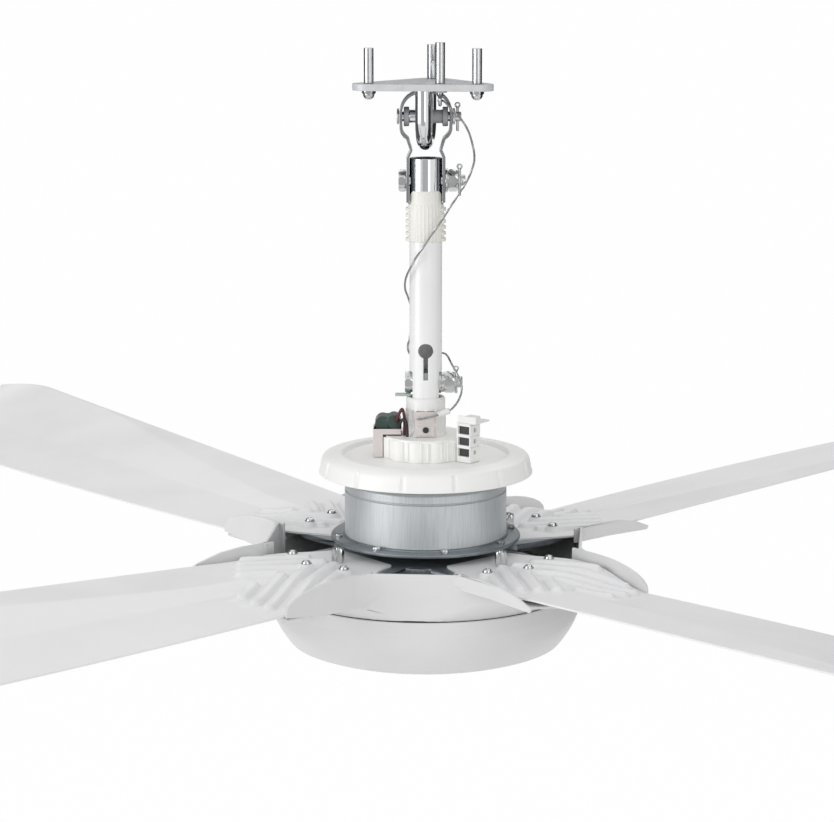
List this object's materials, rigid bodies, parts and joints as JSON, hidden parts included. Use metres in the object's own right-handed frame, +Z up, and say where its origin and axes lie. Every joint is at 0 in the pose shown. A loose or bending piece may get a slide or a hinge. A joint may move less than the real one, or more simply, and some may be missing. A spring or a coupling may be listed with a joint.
{
  "type": "ceiling fan",
  "caption": "Ceiling fan on a short downrod that hangs on a roller in a hooked ceiling plate, with an outer-rotor motor, embossed blades and a round cover bowl.",
  "frame": {"origin": "centre of the ceiling plate's top face, on the axis that the fan turns about", "axes": "+Z up towards the ceiling along the fan's axis, -Y towards the front seen in the picture, +X to the picture's right"},
  "size_m": [1.2094, 1.2094, 0.5158],
  "materials": {
    "zinc_plate": "zinc plated sheet steel",
    "chrome_steel": "bright plated steel",
    "anchor_steel": "zinc plated anchor sleeve",
    "bright_fastener": "bright plated fastener",
    "grey_rubber": "grey moulded rubber",
    "white_rod": "gloss white painted steel tube",
    "ivory_plastic": "ivory moulded plastic",
    "white_plastic": "white moulded plastic",
    "warm_white_plastic": "warm white moulded plastic, satin",
    "green_plastic": "dark green moulded plastic",
    "pale_plastic": "pale moulded plastic",
    "brown_lead": "brown lead insulation",
    "black_lead": "black lead insulation",
    "steel_wire": "stranded galvanised wire",
    "motor_metal": "machined steel",
    "copper_wire": "enamelled copper winding",
    "drum_grey": "blue-grey cast motor shell, satin",
    "dark_steel": "black painted steel",
    "blade_white": "white painted sheet metal, satin",
    "cover_white": "white moulded cover, satin",
    "dark_plastic": "black moulded plastic"
  },
  "bodies": {
    "ceiling_mount": {"ceiling_plate": "zinc_plate", "hanger_hook": "chrome_steel", "anchor_studs": "anchor_steel", "anchor_nuts": "bright_fastener", "safety_anchor": "anchor_steel", "safety_nut": "bright_fastener"},
    "roller": {"hanger_roller": "grey_rubber"},
    "downrod": {"shackle": "chrome_steel", "hanger_pin": "bright_fastener", "hanger_washers": "bright_fastener", "clamp_bolts": "bright_fastener", "clamp_washers": "bright_fastener", "clamp_nuts": "bright_fastener", "split_pins": "bright_fastener", "downrod": "white_rod", "rod_sleeve": "ivory_plastic", "neck": "white_plastic", "neck_panel": "white_plastic", "panel_screws": "bright_fastener", "fluted_hub": "white_plastic", "top_cover": "warm_white_plastic", "capacitor": "green_plastic", "capacitor_tray": "pale_plastic", "lead_brown": "brown_lead", "lead_black": "black_lead", "terminal_block": "white_plastic", "terminal_screws": "bright_fastener", "terminal_flap": "white_plastic", "safety_wire": "steel_wire", "wire_sleeve": "white_plastic", "earth_tab": "green_plastic", "motor_shaft": "motor_metal", "shaft_clip": "motor_metal", "stator_core": "motor_metal", "windings": "copper_wire"},
    "rotor": {"bearings": "motor_metal", "motor_drum": "drum_grey", "drum_lid": "drum_grey", "magnet_ring": "motor_metal", "motor_base": "drum_grey", "blade_holder": "dark_steel", "holder_posts": "bright_fastener", "blade_1": "blade_white", "blade_2": "blade_white", "blade_3": "blade_white", "blade_4": "blade_white", "blade_screws": "bright_fastener", "hub_cover": "cover_white", "inner_shield": "dark_plastic", "bottom_bowl": "cover_white", "cover_screws": "bright_fastener"}
  },
  "joints": [
    {"name": "side_swing", "type": "hinge", "parent": "ceiling_mount", "child": "roller", "pos_m": [0, 0, -0.049], "axis": [0.1028, 0.9947, 0], "range_deg": [-8, 8], "deforming": ["safety_wire"]},
    {"name": "fore_aft_swing", "type": "hinge", "parent": "roller", "child": "downrod", "pos_m": [0, 0, -0.0282], "axis": [1, 0, 0], "range_deg": [-8, 8], "deforming": ["safety_wire"]},
    {"name": "rotor_spin", "type": "hinge", "parent": "downrod", "child": "rotor", "pos_m": [0, 0, -0.36], "axis": [0, 0, 1], "continuous": true}
  ]
}
